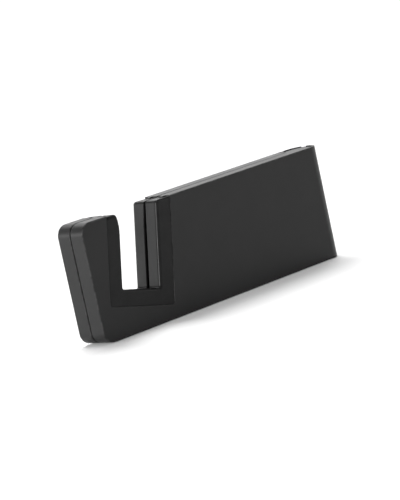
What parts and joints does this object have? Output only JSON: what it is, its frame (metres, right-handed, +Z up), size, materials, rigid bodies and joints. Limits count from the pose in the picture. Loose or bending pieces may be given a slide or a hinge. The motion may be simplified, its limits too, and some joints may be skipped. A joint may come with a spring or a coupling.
{
  "type": "folding phone stand",
  "caption": "Flat pocket phone stand: two plastic arms that open like a V about a pin, each with a leaning rubber-lined slot that holds the phone.",
  "frame": {"origin": "middle of the closed stand's box on the surface it rests on, under the four grip pads", "axes": "+X from the slot end to the hinge end, +Y from the front arm to the rear arm, +Z up"},
  "size_m": [0.12, 0.012, 0.0403],
  "materials": {
    "arm_plastic": "black, satin, finely textured",
    "panel_plastic": "black, matte",
    "soft_rubber": "black, soft, matte",
    "steel": "plain turned steel",
    "washer_plastic": "natural white, smooth"
  },
  "bodies": {
    "front_arm": {"front_shell": "arm_plastic", "front_cover": "panel_plastic", "front_liner": "soft_rubber", "front_cover_screw_1": "steel", "front_cover_screw_2": "steel", "front_cover_screw_3": "steel", "front_cover_screw_4": "steel", "front_grip_pad_1": "soft_rubber", "front_grip_pad_2": "soft_rubber", "hinge_pin": "steel", "pin_retainer": "steel", "lower_friction_washer": "washer_plastic", "upper_friction_washer": "washer_plastic", "hinge_cap": "arm_plastic"},
    "rear_arm": {"rear_shell": "arm_plastic", "rear_cover": "panel_plastic", "rear_liner": "soft_rubber", "rear_cover_screw_1": "steel", "rear_cover_screw_2": "steel", "rear_cover_screw_3": "steel", "rear_cover_screw_4": "steel", "rear_grip_pad_1": "soft_rubber", "rear_grip_pad_2": "soft_rubber"}
  },
  "joints": [
    {"name": "arm_hinge", "type": "hinge", "parent": "front_arm", "child": "rear_arm", "pos_m": [0.054, 0, 0.0203], "axis": [0, 0, -1], "range_deg": [0, 80]}
  ]
}
